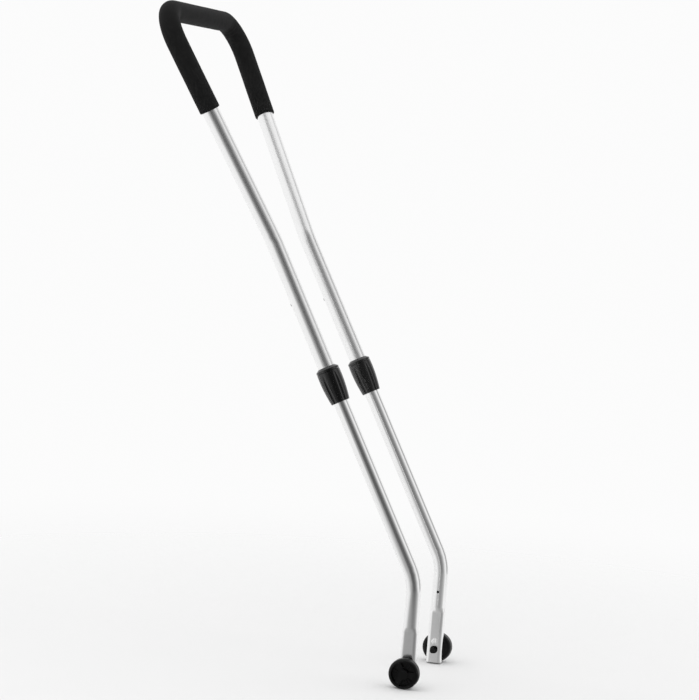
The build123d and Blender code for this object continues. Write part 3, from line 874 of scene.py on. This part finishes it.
def room_finish():
    finish, tree, glossy = only_in_reflections("dark_side_of_room")
    place = add_node(tree, "ShaderNodeTexCoord").outputs["Object"]
    from_centre = add_node(
        tree, "ShaderNodeVectorMath", {0: place, 1: ROOM_CENTRE}, operation="SUBTRACT"
    )
    parts = add_node(tree, "ShaderNodeSeparateXYZ", {"Vector": from_centre.outputs[0]}).outputs
    towards_person = calculate(tree, "MULTIPLY", parts["Y"], -1.0)
    angle = calculate(tree, "ARCTAN2", parts["X"], towards_person)
    azimuth = calculate(tree, "FRACT", calculate(tree, "MULTIPLY", angle, 1 / (2 * pi)))
    flat_place = add_node(tree, "ShaderNodeCombineXYZ", {"X": parts["X"], "Y": parts["Y"]})
    radius = add_node(
        tree, "ShaderNodeVectorMath", {0: flat_place.outputs["Vector"]}, operation="LENGTH"
    ).outputs["Value"]
    apron_end = APRON_RADII[1]
    past_apron = add_node(tree, "ShaderNodeMapRange", {
        "Value": radius, "From Min": apron_end * APRON_FADE, "From Max": apron_end,
    }).outputs["Result"]
    paler_from, paler_to, how_much = BETWEEN_FEET
    paler = add_node(tree, "ShaderNodeMapRange", {
        "Value": radius, "From Min": paler_from, "From Max": paler_to,
        "To Min": how_much, "To Max": 0.0,
    }).outputs["Result"]
    apron = mixed(tree, paler, greys_round_room(tree, azimuth, APRON_GREYS), grey(WORLD_WHITE))
    shade = mixed(tree, past_apron, apron, greys_round_room(tree, azimuth, WALL_GREYS))
    glow_over_clear(tree, glossy, shade)
    return finish


first_azimuth, last_azimuth = radians(APRON_GREYS[0][0]), radians(WALL_GREYS[-1][0])
room_bm = bmesh.new()
floor_level = ROOM_CENTRE + Vector((0, 0, cad_low.z + APRON_LIFT))
start = towards(first_azimuth)
near, far = (start * reach + floor_level for reach in (APRON_RADII[0], WALL_RADIUS))
corners = [room_bm.verts.new(co) for co in (near, far, far + Vector((0, 0, WALL_HEIGHT)))]
profile = [room_bm.edges.new(pair) for pair in zip(corners, corners[1:])]
bmesh.ops.spin(
    room_bm, geom=corners + profile, cent=ROOM_CENTRE, axis=(0, 0, 1), dvec=(0, 0, 0),
    angle=last_azimuth - first_azimuth, steps=ROOM_STEPS, use_merge=False, use_duplicate=False,
)
finished_piece(room_bm, "dark_side_of_room", room_finish())

# %% [markdown]
# ## A veil between the legs
#
# The far leg stands deeper in the white tent, so its dark line and its flat foot come
# out paler than those of the near leg. A thin veil between the legs does that: only
# reflections that leave the far leg towards the dark side pass through it, and each
# picks up a little white on the way.

# %% Veil
VEIL_WHITE = 0.11
VEIL_HALF_SIDE = 0.5

veil_finish, veil_tree, veil_glossy = only_in_reflections("veil")
veil_share = calculate(veil_tree, "MULTIPLY", veil_glossy, VEIL_WHITE)
glow_over_clear(veil_tree, veil_share, grey(1.0))

veil_bm = bmesh.new()
across_x = Matrix.Rotation(pi / 2, 4, "Y")
veil_middle = Matrix.Translation((0, (cad_low.y + cad_high.y) / 2, (cad_low.z + cad_high.z) / 2))
bmesh.ops.create_grid(
    veil_bm, x_segments=1, y_segments=1, size=VEIL_HALF_SIDE, matrix=veil_middle @ across_x
)
finished_piece(veil_bm, "veil", veil_finish)

# %% [markdown]
# ## Two soft lamps
#
# The tent gives an even light, and two large discs above add the slight direction that
# lets the knobs and the feet drop a soft shadow. They are hidden from reflections,
# where their round shapes would show as white patches in the metal.

# %% Lamps
LAMP_DISTANCE = 3.0
LAMP_DISC = 2.4


def soft_lamp(name, azimuth, elevation, watts):
    data = bpy.data.lights.new(name, "AREA")
    data.shape = "DISK"
    data.size = LAMP_DISC
    data.energy = watts
    lamp = bpy.data.objects.new(name, data)
    place = towards(radians(azimuth), radians(elevation)) * LAMP_DISTANCE
    lamp.location = aim + place
    lamp.rotation_euler = place.to_track_quat("Z", "Y").to_euler()
    lamp.visible_glossy = False
    bpy.context.collection.objects.link(lamp)


soft_lamp("key_lamp", azimuth=40, elevation=62, watts=16.0)
soft_lamp("fill_lamp", azimuth=200, elevation=50, watts=10.0)
print("two soft lamps", LAMP_DISTANCE, "m from the handle")
